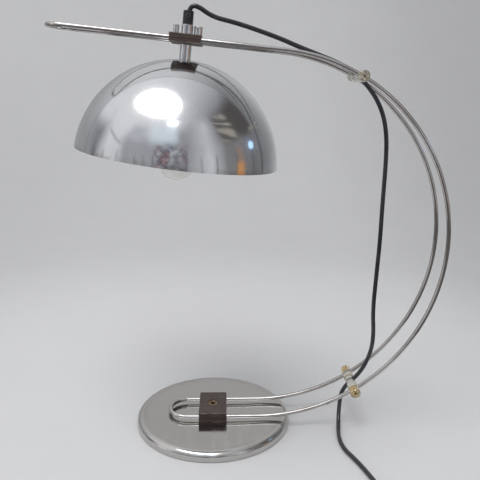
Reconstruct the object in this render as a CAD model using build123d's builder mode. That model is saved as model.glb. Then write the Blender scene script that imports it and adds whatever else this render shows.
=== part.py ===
from build123d import *
import os
from math import sin, cos, tan, radians, sqrt, pi

os.makedirs("parts", exist_ok=True)

# Chrome twin-rod arc desk lamp. Millimetres, +Z up, origin on the floor under
# the centre of the round base, the arc in the XZ plane.

# ---------------------------------------------------------------- dimensions
# base
BASE_R = 112.5            # base radius
BASE_H = 13.5             # height of the rolled rim
BASE_MID = 12.2           # height of the slightly dished middle
RIM_R = 8.0               # radius of the rolled rim
SHEET = 1.2               # cover sheet thickness
# rods
ROD = 6.0                 # rod diameter
ROD_GAP = 50.6            # rod spacing, centre to centre
ROD_Z = 18.3              # height of the rods over the base
LOOP_X = -38.0            # centre of the lower U-bend
ARC_X = 64.0              # where the lower straight ends
ARC1_R, ARC1_A = 259.2, 88.4      # lower arc
ARC2_R = 253.3                    # upper arc
LEAN = 5.8                # slope of the top straight, degrees
TIP_X = -181.3            # centre of the upper U-bend
# clamp blocks
BLOCK_X, BLOCK_Y = 40.4, 63.6
BASE_BLOCK_TOP = 26.5
# head, measured along the stem axis from the rods' centre plane
HEAD_X = -30.4            # where the head hangs on the top straight
UP_T, LOW_T = 6.0, 4.6    # carriage plate thicknesses from the rod plane
STEM_D, STEM_TOP = 15.0, 19.0
SHADE_R, SHADE_C, SHADE_RIM = 135.0, 159.2, 9.5
SHADE_T = 0.8
RIM_LEAN = 7.2            # slope of the shade's rim: it hangs a little askew on its hole
BULB_R, BULB_C = 27.5, 153.5
GRIP_D, GRIP_TOP = 13.4, 36.0
# cord
CORD = 6.0
COIL_C = (146.0, -266.0)
COIL_IN, COIL_OUT, COIL_H = 26.5, 39.5, 12.0

r_rod, half, r_cord = ROD / 2, ROD_GAP / 2, CORD / 2

# ------------------------------------------------------- the rods' centreline
a1, total, lean = radians(ARC1_A), radians(180 - LEAN), radians(LEAN)
P1 = (ARC_X, ROD_Z)
C1 = (ARC_X, ROD_Z + ARC1_R)


def on(c, r, a):
    return (c[0] + r * sin(a), c[1] - r * cos(a))


M1, P2 = on(C1, ARC1_R, a1 / 2), on(C1, ARC1_R, a1)
C2 = (P2[0] - ARC2_R * sin(a1), P2[1] + ARC2_R * cos(a1))
M2, P3 = on(C2, ARC2_R, (a1 + total) / 2), on(C2, ARC2_R, total)


def top_z(x):
    return P3[1] + (P3[0] - x) * tan(lean)


P4 = (TIP_X, top_z(TIP_X))
APEX = (TIP_X - half * cos(lean), P4[1] + half * sin(lean))
HEAD = (HEAD_X, 0, top_z(HEAD_X))

# head frame: x along the rods towards the arc, z up the stem
hx, hz = (cos(lean), 0, -sin(lean)), (sin(lean), 0, cos(lean))
head = Plane(origin=HEAD, x_dir=hx, z_dir=hz)
head_side = Plane(origin=HEAD, x_dir=hx, z_dir=(0, -1, 0))
stem_axis = Axis(origin=HEAD, direction=hz)


def head_at(u, y, h):
    """A point u along the rods, y across and h up the stem axis."""
    return (HEAD[0] + u * hx[0] + h * hz[0], y, HEAD[2] + u * hx[2] + h * hz[2])


def save(piece, name):
    piece.part.label = name
    export_step(piece.part, "parts/" + name + ".step")


# ==================================================================== BASE
with BuildPart() as base_cover:
    with BuildSketch(Plane.XZ):
        with BuildLine():
            p0 = (4.3, BASE_MID)
            p1 = (36.0, BASE_MID)
            rim = CenterArc((BASE_R - RIM_R, BASE_H - RIM_R), RIM_R, 0, 90)
            Polyline(p0, p1)
            Bezier(p1, (66.0, BASE_MID), (84.0, BASE_H), rim @ 1)
            Polyline(rim @ 0, (BASE_R, 1.0), (BASE_R - SHEET, 1.0),
                     (BASE_R - SHEET, BASE_H - RIM_R))
            inner = CenterArc((BASE_R - RIM_R, BASE_H - RIM_R), RIM_R - SHEET, 0, 90)
            q1 = (p1[0], BASE_MID - SHEET)
            Bezier(q1, (66.0, BASE_MID - SHEET), (84.0, BASE_H - SHEET), inner @ 1)
            Polyline(q1, (4.3, BASE_MID - SHEET), p0)
        make_face()
    revolve(axis=Axis.Z)
save(base_cover, "base_cover")

with BuildPart() as base_weight:
    with BuildSketch(Plane.XZ):
        with BuildLine():
            Polyline((4.5, 8.6), (4.5, 10.7), (36, 10.7), (102, 11.2),
                     (106.6, 10.9), (110.6, 7.0), (110.9, 2.2), (10.0, 2.2),
                     (10.0, 8.6), (4.5, 8.6))
        make_face()
    revolve(axis=Axis.Z)
save(base_weight, "base_weight")

with BuildPart() as base_pad:
    with BuildSketch():
        Circle(BASE_R - SHEET - 0.6)
    extrude(amount=2.0)
    fillet(base_pad.edges().group_by(Axis.Z)[0], 0.5)
save(base_pad, "base_pad")

with BuildPart() as base_clamp_lower:
    with BuildSketch(Plane.XY.offset(BASE_MID + 0.01)):
        Rectangle(BLOCK_X, BLOCK_Y)
    extrude(amount=ROD_Z - 0.3 - BASE_MID)
    chamfer(base_clamp_lower.edges().filter_by(Axis.Z), 0.7)
    chamfer(base_clamp_lower.faces().sort_by(Axis.Z)[0].edges(), 0.4)
    with BuildSketch(Plane.YZ.offset(-BLOCK_X / 2 - 1)):
        with Locations((-half, ROD_Z), (half, ROD_Z)):
            Circle(r_rod + 0.04)
    extrude(amount=BLOCK_X + 2, mode=Mode.SUBTRACT)
    with BuildSketch(Plane.XY):
        Circle(4.15)
    extrude(amount=40, mode=Mode.SUBTRACT)
save(base_clamp_lower, "base_clamp_lower")

with BuildPart() as base_clamp_upper:
    with BuildSketch(Plane.XY.offset(ROD_Z + 0.3)):
        Rectangle(BLOCK_X, BLOCK_Y)
    extrude(amount=BASE_BLOCK_TOP - ROD_Z - 0.3)
    chamfer(base_clamp_upper.edges().filter_by(Axis.Z), 0.7)
    chamfer(base_clamp_upper.faces().sort_by(Axis.Z)[-1].edges(), 0.6)
    with BuildSketch(Plane.YZ.offset(-BLOCK_X / 2 - 1)):
        with Locations((-half, ROD_Z), (half, ROD_Z)):
            Circle(r_rod + 0.04)
    extrude(amount=BLOCK_X + 2, mode=Mode.SUBTRACT)
    with BuildSketch(Plane.XY):
        Circle(4.15)
    extrude(amount=40, mode=Mode.SUBTRACT)
    with BuildSketch(Plane.XY.offset(BASE_BLOCK_TOP - 2.6)):
        Circle(8.4)
    extrude(amount=5, mode=Mode.SUBTRACT)
save(base_clamp_upper, "base_clamp_upper")

with BuildPart() as base_clamp_bolt:
    with BuildSketch(Plane.XY.offset(2.6)):
        Circle(4.0)
    extrude(amount=BASE_BLOCK_TOP - 2.6 - 2.6)
    with BuildSketch(Plane.XY.offset(BASE_BLOCK_TOP - 2.6)):
        Circle(8.1)
    extrude(amount=2.3)
    fillet(base_clamp_bolt.edges().group_by(Axis.Z)[-1], 0.8)
    with BuildSketch(Plane.XY.offset(BASE_BLOCK_TOP - 4.6)):
        RegularPolygon(radius=3.0, side_count=6, major_radius=False)
    extrude(amount=6, mode=Mode.SUBTRACT)
    with BuildSketch(Plane.XY.offset(BASE_BLOCK_TOP - 0.7)):
        Circle(3.9)
    extrude(amount=1.2, taper=-45, mode=Mode.SUBTRACT)
save(base_clamp_bolt, "base_clamp_bolt")

with BuildPart() as base_washer:
    with BuildSketch(Plane.XY.offset(7.35)):
        Circle(9.0)
        Circle(4.3, mode=Mode.SUBTRACT)
    extrude(amount=1.2)
save(base_washer, "base_washer")

with BuildPart() as base_nut:
    with BuildSketch(Plane.XY.offset(2.3)):
        RegularPolygon(radius=6.5, side_count=6, major_radius=False)
        Circle(4.02, mode=Mode.SUBTRACT)
    extrude(amount=5.0)
save(base_nut, "base_nut")

# ==================================================================== RODS
# the long loop, and the short bend on the base; their ends meet inside the base clamp
with BuildPart() as rod_loop:
    with BuildLine() as rod_path:
        Line((0.2, half, ROD_Z), (ARC_X, half, ROD_Z))
        ThreePointArc((P1[0], half, P1[1]), (M1[0], half, M1[1]), (P2[0], half, P2[1]))
        ThreePointArc((P2[0], half, P2[1]), (M2[0], half, M2[1]), (P3[0], half, P3[1]))
        Line((P3[0], half, P3[1]), (P4[0], half, P4[1]))
        ThreePointArc((P4[0], half, P4[1]), (APEX[0], 0, APEX[1]), (P4[0], -half, P4[1]))
        Line((P4[0], -half, P4[1]), (P3[0], -half, P3[1]))
        ThreePointArc((P3[0], -half, P3[1]), (M2[0], -half, M2[1]), (P2[0], -half, P2[1]))
        ThreePointArc((P2[0], -half, P2[1]), (M1[0], -half, M1[1]), (P1[0], -half, P1[1]))
        Line((ARC_X, -half, ROD_Z), (0.2, -half, ROD_Z))
    with BuildSketch(Plane(origin=(0.2, half, ROD_Z), z_dir=(1, 0, 0))):
        Circle(r_rod)
    sweep()
save(rod_loop, "rod_loop")

with BuildPart() as rod_base_bend:
    with BuildLine() as bend_path:
        Line((-0.2, -half, ROD_Z), (LOOP_X, -half, ROD_Z))
        ThreePointArc((LOOP_X, -half, ROD_Z), (LOOP_X - half, 0, ROD_Z), (LOOP_X, half, ROD_Z))
        Line((LOOP_X, half, ROD_Z), (-0.2, half, ROD_Z))
    with BuildSketch(Plane(origin=(-0.2, -half, ROD_Z), z_dir=(-1, 0, 0))):
        Circle(r_rod)
    sweep()
save(rod_base_bend, "rod_base_bend")

# ================================================================= SPACERS
SP_LOW = (204.6, C1[1] - sqrt(ARC1_R ** 2 - (204.6 - C1[0]) ** 2))
SP_UP = (194.0, C2[1] + sqrt(ARC2_R ** 2 - (194.0 - C2[0]) ** 2))
BORE_LOW = (-0.757, -0.05, -0.652)     # way the cord runs through the lower bar
BORE_UP = (0.76, 0.0, -0.65)           # and through the upper bar
SP_LEN, SP_R, SP_WAIST = 77.0, 7.3, 6.2


def spacer_profile():
    e = SP_LEN / 2
    return [(0, -e), (SP_R - 0.8, -e), (SP_R, -e + 0.8), (SP_R, -9.5),
            (SP_WAIST, -5.5), (SP_WAIST, 5.5), (SP_R, 9.5), (SP_R, e - 0.8),
            (SP_R - 0.8, e), (0, e), (0, -e)]


with BuildPart() as spacer_lower:
    with BuildSketch(Plane(origin=(SP_LOW[0], 0, SP_LOW[1]), x_dir=(1, 0, 0), z_dir=(0, 0, 1))):
        with BuildLine():
            Polyline(*spacer_profile())
        make_face()
    revolve(axis=Axis(origin=(SP_LOW[0], 0, SP_LOW[1]), direction=(0, 1, 0)))
    for y in (-half, half):
        # the rod runs through along the arc's tangent
        with BuildSketch(Plane(origin=(SP_LOW[0], y, SP_LOW[1]),
                               z_dir=(C1[1] - SP_LOW[1], 0, SP_LOW[0] - C1[0]))):
            Circle(r_rod + 0.25)
        extrude(amount=12, both=True, mode=Mode.SUBTRACT)
        with BuildSketch(Plane(origin=(SP_LOW[0], y, SP_LOW[1]), z_dir=(0, 1 if y > 0 else -1, 0))):
            Circle(2.45)
        extrude(amount=20, mode=Mode.SUBTRACT)
    with BuildSketch(Plane(origin=(SP_LOW[0], 0, SP_LOW[1]), z_dir=BORE_LOW)):
        Circle(3.9)
    extrude(amount=12, both=True, mode=Mode.SUBTRACT)
save(spacer_lower, "spacer_lower")

with BuildPart() as spacer_upper:
    with BuildSketch(Plane(origin=(SP_UP[0], 0, SP_UP[1]), x_dir=(1, 0, 0), z_dir=(0, 0, 1))):
        with BuildLine():
            Polyline(*spacer_profile())
        make_face()
    revolve(axis=Axis(origin=(SP_UP[0], 0, SP_UP[1]), direction=(0, 1, 0)))
    for y in (-half, half):
        with BuildSketch(Plane(origin=(SP_UP[0], y, SP_UP[1]),
                               z_dir=(SP_UP[1] - C2[1], 0, C2[0] - SP_UP[0]))):
            Circle(r_rod + 0.25)
        extrude(amount=12, both=True, mode=Mode.SUBTRACT)
        with BuildSketch(Plane(origin=(SP_UP[0], y, SP_UP[1]), z_dir=(0, 1 if y > 0 else -1, 0))):
            Circle(2.45)
        extrude(amount=20, mode=Mode.SUBTRACT)
    with BuildSketch(Plane(origin=(SP_UP[0], 0, SP_UP[1]), z_dir=BORE_UP)):
        Circle(3.9)
    extrude(amount=12, both=True, mode=Mode.SUBTRACT)
save(spacer_upper, "spacer_upper")

# four brass grub screws, one in each end of each spacer
with BuildPart() as spacer_screws:
    for sx, sz in (SP_LOW, SP_UP):
        for s in (-1, 1):
            y0 = s * (half + r_rod + 0.35)
            y1 = s * (SP_LEN / 2 - 0.6)
            with BuildSketch(Plane(origin=(sx, y0, sz), z_dir=(0, s, 0))):
                Circle(2.4)
            extrude(amount=abs(y1 - y0))
            with BuildSketch(Plane(origin=(sx, y1, sz), z_dir=(0, -s, 0))):
                RegularPolygon(radius=1.25, side_count=6, major_radius=False)
            extrude(amount=3.0, mode=Mode.SUBTRACT)
save(spacer_screws, "spacer_screws")

# ================================================================ CARRIAGE
BORE_STEM = STEM_D / 2 + 0.05
SCREW_U = 14.2                       # screws either side of the stem

with BuildPart() as carriage_lower:
    with BuildSketch(head.offset(-LOW_T)):
        Rectangle(BLOCK_X, BLOCK_Y)
    extrude(amount=LOW_T - 0.25)
    chamfer(carriage_lower.edges().filter_by(Axis(origin=HEAD, direction=hz)), 0.7)
    with BuildSketch(Plane(origin=head_at(-BLOCK_X / 2 - 1, 0, 0), x_dir=(0, 1, 0), z_dir=hx)):
        with Locations((-half, 0), (half, 0)):
            Circle(r_rod + 0.06)
    extrude(amount=BLOCK_X + 2, mode=Mode.SUBTRACT)
    with BuildSketch(head.offset(-LOW_T - 1)):
        Circle(BORE_STEM)
        with Locations((-SCREW_U, 0), (SCREW_U, 0)):
            Circle(2.55)
    extrude(amount=20, mode=Mode.SUBTRACT)
save(carriage_lower, "carriage_lower")

with BuildPart() as carriage_upper:
    with BuildSketch(head.offset(0.25)):
        Rectangle(BLOCK_X, BLOCK_Y)
    extrude(amount=UP_T - 0.25)
    chamfer(carriage_upper.edges().filter_by(Axis(origin=HEAD, direction=hz)), 0.7)
    with BuildSketch(Plane(origin=head_at(-BLOCK_X / 2 - 1, 0, 0), x_dir=(0, 1, 0), z_dir=hx)):
        with Locations((-half, 0), (half, 0)):
            Circle(r_rod + 0.06)
    extrude(amount=BLOCK_X + 2, mode=Mode.SUBTRACT)
    with BuildSketch(head.offset(-5)):
        Circle(BORE_STEM)
        with Locations((-SCREW_U, 0), (SCREW_U, 0)):
            Circle(2.55)
    extrude(amount=20, mode=Mode.SUBTRACT)
    # tapped hole for the stem's grub screw, from the back face
    with BuildSketch(Plane(origin=head_at(0, BLOCK_Y / 2 + 1, 3.1), z_dir=(0, -1, 0))):
        Circle(1.6)
    extrude(amount=27, mode=Mode.SUBTRACT)
save(carriage_upper, "carriage_upper")

with BuildPart() as stem_lock_screw:
    with BuildSketch(Plane(origin=head_at(0, STEM_D / 2 + 0.08, 3.1), z_dir=(0, 1, 0))):
        Circle(1.55)
    extrude(amount=7.0)
save(stem_lock_screw, "stem_lock_screw")

# left clamp screw: tall plain head, shank down into the lower plate
with BuildPart() as carriage_screw:
    with BuildSketch(Plane(origin=head_at(-SCREW_U, 0, UP_T + 0.02), x_dir=hx, z_dir=hz)):
        Circle(3.8)
    extrude(amount=11.9)
    chamfer(carriage_screw.edges().group_by(Axis(origin=HEAD, direction=hz))[-1], 0.5)
    with BuildSketch(Plane(origin=head_at(-SCREW_U, 0, -LOW_T + 0.2), x_dir=hx, z_dir=hz)):
        Circle(2.5)
    extrude(amount=UP_T + LOW_T)
    with BuildSketch(Plane(origin=head_at(-SCREW_U, 0, UP_T + 12.2), x_dir=hx, z_dir=hz)):
        Rectangle(10, 1.2)
    extrude(amount=-2.0, mode=Mode.SUBTRACT)
save(carriage_screw, "carriage_screw")

# right clamp knob: turned by hand, shank down into the lower plate
with BuildPart() as clamp_knob:
    with BuildSketch(Plane(origin=head_at(SCREW_U, 0, UP_T + 0.3), x_dir=hx, z_dir=hz)):
        Circle(5.5)
    extrude(amount=11.8)
    fillet(clamp_knob.edges().group_by(Axis(origin=HEAD, direction=hz))[-1], 0.9)
    with BuildSketch(Plane(origin=head_at(SCREW_U, 0, UP_T + 12.4), x_dir=hx, z_dir=hz)):
        Rectangle(1.4, 14)
    extrude(amount=-2.2, mode=Mode.SUBTRACT)
    with BuildSketch(Plane(origin=head_at(SCREW_U, 0, -LOW_T + 0.2), x_dir=hx, z_dir=hz)):
        Circle(2.48)
    extrude(amount=UP_T + LOW_T + 0.3)
save(clamp_knob, "clamp_knob")

# ==================================================================== STEM
STEM_BOT = -(SHADE_C - SHADE_R)
with BuildPart() as stem_tube:
    with BuildSketch(head_side):
        with BuildLine():
            Polyline((5.9, STEM_TOP), (STEM_D / 2 - 0.5, STEM_TOP), (STEM_D / 2, STEM_TOP - 0.5),
                     (STEM_D / 2, STEM_BOT + 0.03), (5.2, STEM_BOT + 0.03), (5.2, STEM_BOT + 13),
                     (5.9, STEM_BOT + 13.7), (5.9, STEM_TOP))
        make_face()
    revolve(axis=stem_axis)
save(stem_tube, "stem_tube")

with BuildPart() as cord_grip:
    with BuildSketch(head_side):
        with BuildLine():
            Polyline((3.35, STEM_TOP - 8), (5.8, STEM_TOP - 8), (5.8, STEM_TOP + 0.02),
                     (GRIP_D / 2, STEM_TOP + 0.02), (GRIP_D / 2, GRIP_TOP - 0.7),
                     (GRIP_D / 2 - 0.7, GRIP_TOP), (4.6, GRIP_TOP), (3.35, GRIP_TOP - 2.4),
                     (3.35, STEM_TOP - 8))
        make_face()
    revolve(axis=stem_axis)
    # tapped hole for the set screw that pinches the cord
    with BuildSketch(Plane(origin=head_at(0, -GRIP_D, 30.4), z_dir=(0, 1, 0))):
        Circle(2.25)
    extrude(amount=GRIP_D - 3.4, mode=Mode.SUBTRACT)
save(cord_grip, "cord_grip")

with BuildPart() as grip_screw:
    with BuildSketch(Plane(origin=head_at(0, -3.5, 30.4), z_dir=(0, -1, 0))):
        Circle(2.15)
    extrude(amount=2.9)
    with BuildSketch(Plane(origin=head_at(0, -6.6, 30.4), x_dir=hx, z_dir=(0, -1, 0))):
        RegularPolygon(radius=1.0, side_count=6, major_radius=False)
    extrude(amount=-1.6, mode=Mode.SUBTRACT)
save(grip_screw, "grip_screw")

# =================================================================== SHADE
def sphere_at(r, h):
    """Radius from the stem axis of the shade's sphere r at height h."""
    return sqrt(r * r - (h + SHADE_C) ** 2)


H_RIM = -SHADE_C + SHADE_RIM
HOLE = 5.3
ro, ri = SHADE_R, SHADE_R - SHADE_T


def sphere_h(r, x):
    return -SHADE_C + sqrt(r * r - x * x)


H_LOW = H_RIM - 6.0                    # the bowl is made longer, then trimmed along its rim
n_rim = (sin(radians(RIM_LEAN)), 0, cos(radians(RIM_LEAN)))
c_shade = head_at(0, 0, -SHADE_C)
rim_plane = Plane(origin=tuple(c + SHADE_RIM * n for c, n in zip(c_shade, n_rim)), z_dir=n_rim)
with BuildPart() as shade:
    with BuildSketch(head_side):
        with BuildLine():
            xo, xi = sphere_at(ro, H_LOW), sphere_at(ri, H_LOW)
            mo, mi = ro * sin(radians(45)), ri * sin(radians(45))
            Polyline((HOLE, sphere_h(ro, HOLE)), (HOLE, sphere_h(ri, HOLE)))
            ThreePointArc((HOLE, sphere_h(ri, HOLE)), (mi, sphere_h(ri, mi)), (xi, H_LOW))
            Polyline((xi, H_LOW), (xo, H_LOW))
            ThreePointArc((xo, H_LOW), (mo, sphere_h(ro, mo)), (HOLE, sphere_h(ro, HOLE)))
        make_face()
    revolve(axis=stem_axis)
    split(bisect_by=rim_plane, keep=Keep.TOP)
save(shade, "shade")

INNER_TOP = sphere_h(ri, 8.0)          # where the nut meets the inside
with BuildPart() as nipple:
    with BuildSketch(head.offset(STEM_BOT + 12.5)):
        Circle(5.0)
        Circle(4.0, mode=Mode.SUBTRACT)
    extrude(amount=-(STEM_BOT + 12.5 + 53.0))
save(nipple, "nipple")

with BuildPart() as shade_nut:
    with BuildSketch(head.offset(INNER_TOP - 0.05)):
        RegularPolygon(radius=7.5, side_count=6, major_radius=False)
        Circle(5.05, mode=Mode.SUBTRACT)
    extrude(amount=-4.0)
save(shade_nut, "shade_nut")

H_SLEEVE = INNER_TOP - 4.1
with BuildPart() as nipple_sleeve:
    with BuildSketch(head.offset(H_SLEEVE)):
        Circle(6.5)
        Circle(5.05, mode=Mode.SUBTRACT)
    extrude(amount=-(H_SLEEVE + 46.0))
save(nipple_sleeve, "nipple_sleeve")

# ============================================================= LAMP HOLDER
with BuildPart() as holder_cap:
    with BuildSketch(head_side):
        with BuildLine():
            Polyline((5.1, -46.05), (9.5, -46.05), (10.5, -47.0), (18.5, -57.0), (19.5, -59.5),
                     (19.5, -66.0), (17.4, -66.0), (17.4, -59.5), (9.5, -49.8), (5.1, -49.8),
                     (5.1, -46.05))
        make_face()
    revolve(axis=stem_axis)
save(holder_cap, "holder_cap")

with BuildPart() as holder_shell:
    with BuildSketch(head_side):
        with BuildLine():
            Polyline((17.35, -61.0), (17.35, -66.1), (19.5, -66.1), (19.5, -84.0), (20.3, -86.0),
                     (20.3, -104.5), (19.7, -105.0), (17.0, -105.0), (17.0, -86.0),
                     (15.4, -84.0), (15.4, -61.0), (17.35, -61.0))
        make_face()
    revolve(axis=stem_axis)
save(holder_shell, "holder_shell")

with BuildPart() as holder_insert:
    with BuildSketch(head_side):
        with BuildLine():
            Polyline((4.2, -53.3), (11.0, -53.3), (15.3, -61.2), (15.3, -75.0), (9.0, -75.0),
                     (9.0, -70.5), (4.2, -70.5), (4.2, -53.3))
        make_face()
    revolve(axis=stem_axis)
save(holder_insert, "holder_insert")

with BuildPart() as screw_shell:
    with BuildSketch(head.offset(-75.05)):
        Circle(14.6)
        Circle(14.0, mode=Mode.SUBTRACT)
    extrude(amount=-27.0)
save(screw_shell, "screw_shell")

with BuildPart() as holder_contact:
    with BuildSketch(head_side):
        with BuildLine():
            Polyline((-7.5, -70.6), (7.5, -70.6), (7.5, -71.4), (-1.0, -71.4), (4.2, -76.2),
                     (3.8, -76.9), (-3.0, -71.4), (-7.5, -71.4), (-7.5, -70.6))
        make_face()
    extrude(amount=3.0, both=True)
save(holder_contact, "holder_contact")

# ==================================================================== BULB
with BuildPart() as bulb_cap:
    with BuildSketch(head_side):
        with BuildLine():
            Polyline((0, -77.3), (4.5, -77.6), (5.2, -79.0), (9.5, -81.0))
            Polyline((9.5, -81.0), (12.6, -83.0))
            pts = [(12.6, -83.0)]
            for k in range(5):
                z = -84.0 - 3.5 * k
                pts += [(13.5, z - 0.9), (12.7, z - 2.6)]
            pts += [(13.3, -102.5), (13.3, -106.0), (12.6, -106.0), (12.3, -84.2),
                    (9.2, -82.0), (0, -80.0), (0, -77.3)]
            Polyline(*pts)
        make_face()
    revolve(axis=stem_axis)
save(bulb_cap, "bulb_cap")

BULB_T = 0.7
with BuildPart() as bulb_glass:
    with BuildSketch(head_side):
        with BuildLine():
            c = (0, -BULB_C)
            join = 52.0               # where the neck's curve meets the ball
            jx, jh = BULB_R * sin(radians(join)), -BULB_C + BULB_R * cos(radians(join))
            outer = CenterArc(c, BULB_R, -90, 180 - join)
            Spline(outer @ 1, (12.1, -104.0), tangents=[(-cos(radians(join)), sin(radians(join))), (0, 1)])
            Line((12.1, -104.0), (12.1, -92.0))
            Line((12.1, -92.0), (12.1 - BULB_T, -92.0))
            Line((12.1 - BULB_T, -92.0), (12.1 - BULB_T, -104.0))
            inner = CenterArc(c, BULB_R - BULB_T, -90, 180 - join)
            Spline(inner @ 1, (12.1 - BULB_T, -104.0), tangents=[(-cos(radians(join)), sin(radians(join))), (0, 1)])
            Line(outer @ 0, inner @ 0)
        make_face()
    revolve(axis=stem_axis)
save(bulb_glass, "bulb_glass")

# glass mount, two lead wires and the filament between them
with BuildPart() as bulb_mount:
    with BuildSketch(head_side):
        with BuildLine():
            Polyline((0, -91.0), (12.0, -91.0), (12.0, -92.0), (11.3, -92.0), (6.0, -95.0),
                     (2.6, -104.0), (2.2, -124.0),
                     (3.0, -126.0), (1.4, -128.0), (0, -128.0), (0, -91.0))
        make_face()
    revolve(axis=stem_axis)
    for s in (-1, 1):
        with BuildLine() as lead_wire:
            Polyline(head_at(s * 1.0, 0, -126.0), head_at(s * 5.5, 0, -134.0), head_at(s * 10.0, 0, -146.0))
        with BuildSketch(Plane(origin=head_at(s * 1.0, 0, -126.0),
                               z_dir=tuple(Vector(*head_at(s * 5.5, 0, -134.0)) - Vector(*head_at(s * 1.0, 0, -126.0))))):
            Circle(0.4)
        sweep(path=lead_wire.line, transition=Transition.RIGHT)
    with BuildLine() as filament_line:
        Polyline(head_at(-10.0, 0, -145.6), head_at(-5.0, 4.0, -143.0), head_at(0, 5.5, -142.4),
                 head_at(5.0, 4.0, -143.0), head_at(10.0, 0, -145.6))
    with BuildSketch(Plane(origin=head_at(-10.0, 0, -145.6),
                           z_dir=tuple(Vector(*head_at(-5.0, 4.0, -143.0)) - Vector(*head_at(-10.0, 0, -145.6))))):
        Circle(0.45)
    sweep(path=filament_line.line, transition=Transition.RIGHT)
save(bulb_mount, "bulb_mount")

# ==================================================================== CORD
def arcs(points, name):
    """One radius per corner: 0.45 of the shorter run over tan(half the turn)."""
    v = [Vector(*p) for p in points]
    out = []
    for k in range(1, len(v) - 1):
        a, b = v[k] - v[k - 1], v[k + 1] - v[k]
        turn = radians(a.get_angle(b))
        out.append(0.45 * min(a.length, b.length) / tan(turn / 2))
    runs = [round((q - p).length, 1) for p, q in zip(v, v[1:])]
    print(name, "runs", runs)
    print(name, "radii", [round(r, 1) for r in out], "least", round(min(out), 1))
    return out


def along(p, d, s):
    n = Vector(*d).normalized()
    return (p[0] + n.X * s, p[1] + n.Y * s, p[2] + n.Z * s)


S_UP, S_LOW = (SP_UP[0], 0, SP_UP[1]), (SP_LOW[0], 0, SP_LOW[1])
head_route = [
    head_at(0, 0, 27.0),
    head_at(0, 0, 39.0),
    (-17.4, 0.0, 585.2),
    (3.2, 0.6, 570.6),
    (30.5, 1.8, 564.6),
    (58.0, 2.6, 556.2),
    (90.0, 2.2, 545.3),
    (122.0, 0.8, 531.9),
    along(S_UP, BORE_UP, -20.0),
    S_UP,
]
hang_route = [
    S_UP,
    along(S_UP, BORE_UP, 20.0),
    (228.5, 0.6, 455.0),
    (236.6, 1.6, 423.0),
    (238.2, 2.6, 384.0),
    (236.9, 2.2, 330.0),
    (236.2, 1.0, 272.0),
    (233.8, 0.2, 222.0),
    (231.6, -0.6, 171.0),
    (235.0, -0.2, 136.5),
    (233.2, 0.4, 106.5),
    along(S_LOW, BORE_LOW, -19.0),
    S_LOW,
]
floor_route = [
    S_LOW,
    along(S_LOW, BORE_LOW, 17.5),
    (187.0, -11.5, 21.0),
    (183.5, -29.0, 3.1),
    (178.6, -62.0, 3.1),
    (181.2, -88.0, 3.1),
    (191.6, -112.0, 3.1),
    (200.4, -138.0, 3.1),
    (207.2, -162.0, 3.1),
    (210.8, -179.0, 3.6),
]


def unit(p, q):
    return (Vector(*q) - Vector(*p)).normalized()


# the stretch that the coil's turns leave by, and the coil's place
SW_DIR = Vector(0.2, -0.98, 0).normalized()
SW_L, SW_W, SW_H = 58.0, 23.0, 19.0
SW_Z = 8.5                                   # height of the cord in the switch
SW_IN = 6.0                                  # how far the cord goes in
sw_a = (216.0, -206.0, 0)                    # the switch's two tips
sw_b = along(sw_a, SW_DIR, SW_L)


def sw_at(s):
    p = along(sw_a, SW_DIR, s)
    return (p[0], p[1], SW_Z)


floor_route += [sw_at(-11.0), sw_at(SW_IN)]
lead_route = [
    sw_at(SW_L - SW_IN),
    sw_at(SW_L + 9.0),
    (228.8, -290.0, 3.6),
    (220.0, -305.5, 3.1),
    (205.0, -315.0, 3.1),
    (186.5, -316.5, 3.1),
    (COIL_C[0] + 20.0, COIL_C[1] - 41.0, 3.1),
    (COIL_C[0] + 6.0, COIL_C[1] - 36.2, 3.1),
    (COIL_C[0] - 6.0, COIL_C[1] - 35.2, 3.1),
]
tail_route = [
    (COIL_C[0] + 3.0, COIL_C[1] - 34.0, 8.9),
    (COIL_C[0] - 13.0, COIL_C[1] - 35.0, 8.9),
    (COIL_C[0] - 34.0, COIL_C[1] - 39.0, 10.2),
    (COIL_C[0] - 52.0, COIL_C[1] - 40.0, 13.2),
    (COIL_C[0] - 63.0, COIL_C[1] - 40.0, 13.2),
]

with BuildPart() as cord_head_span:
    with BuildLine() as head_line:
        FilletPolyline(*head_route, radius=arcs(head_route, "head"))
    with BuildSketch(Plane(origin=head_route[0], z_dir=unit(head_route[0], head_route[1]))):
        Circle(r_cord)
    sweep()
save(cord_head_span, "cord_head_span")

with BuildPart() as cord_hang_run:
    with BuildLine() as hang_line:
        FilletPolyline(*hang_route, radius=arcs(hang_route, "hang"))
    with BuildSketch(Plane(origin=hang_route[0], z_dir=unit(hang_route[0], hang_route[1]))):
        Circle(r_cord)
    sweep()
save(cord_hang_run, "cord_hang_run")

with BuildPart() as cord_floor_run:
    with BuildLine() as floor_line:
        FilletPolyline(*floor_route, radius=arcs(floor_route, "floor"))
    with BuildSketch(Plane(origin=floor_route[0], z_dir=unit(floor_route[0], floor_route[1]))):
        Circle(r_cord)
    sweep()
save(cord_floor_run, "cord_floor_run")

with BuildPart() as cord_lead:
    with BuildLine() as lead_line:
        FilletPolyline(*lead_route, radius=arcs(lead_route, "lead"))
    with BuildSketch(Plane(origin=lead_route[0], z_dir=unit(lead_route[0], lead_route[1]))):
        Circle(r_cord)
    sweep()
save(cord_lead, "cord_lead")

with BuildPart() as cord_tail:
    with BuildLine() as tail_line:
        FilletPolyline(*tail_route, radius=arcs(tail_route, "tail"))
    with BuildSketch(Plane(origin=tail_route[0], z_dir=unit(tail_route[0], tail_route[1]))):
        Circle(r_cord)
    sweep()
save(cord_tail, "cord_tail")

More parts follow.
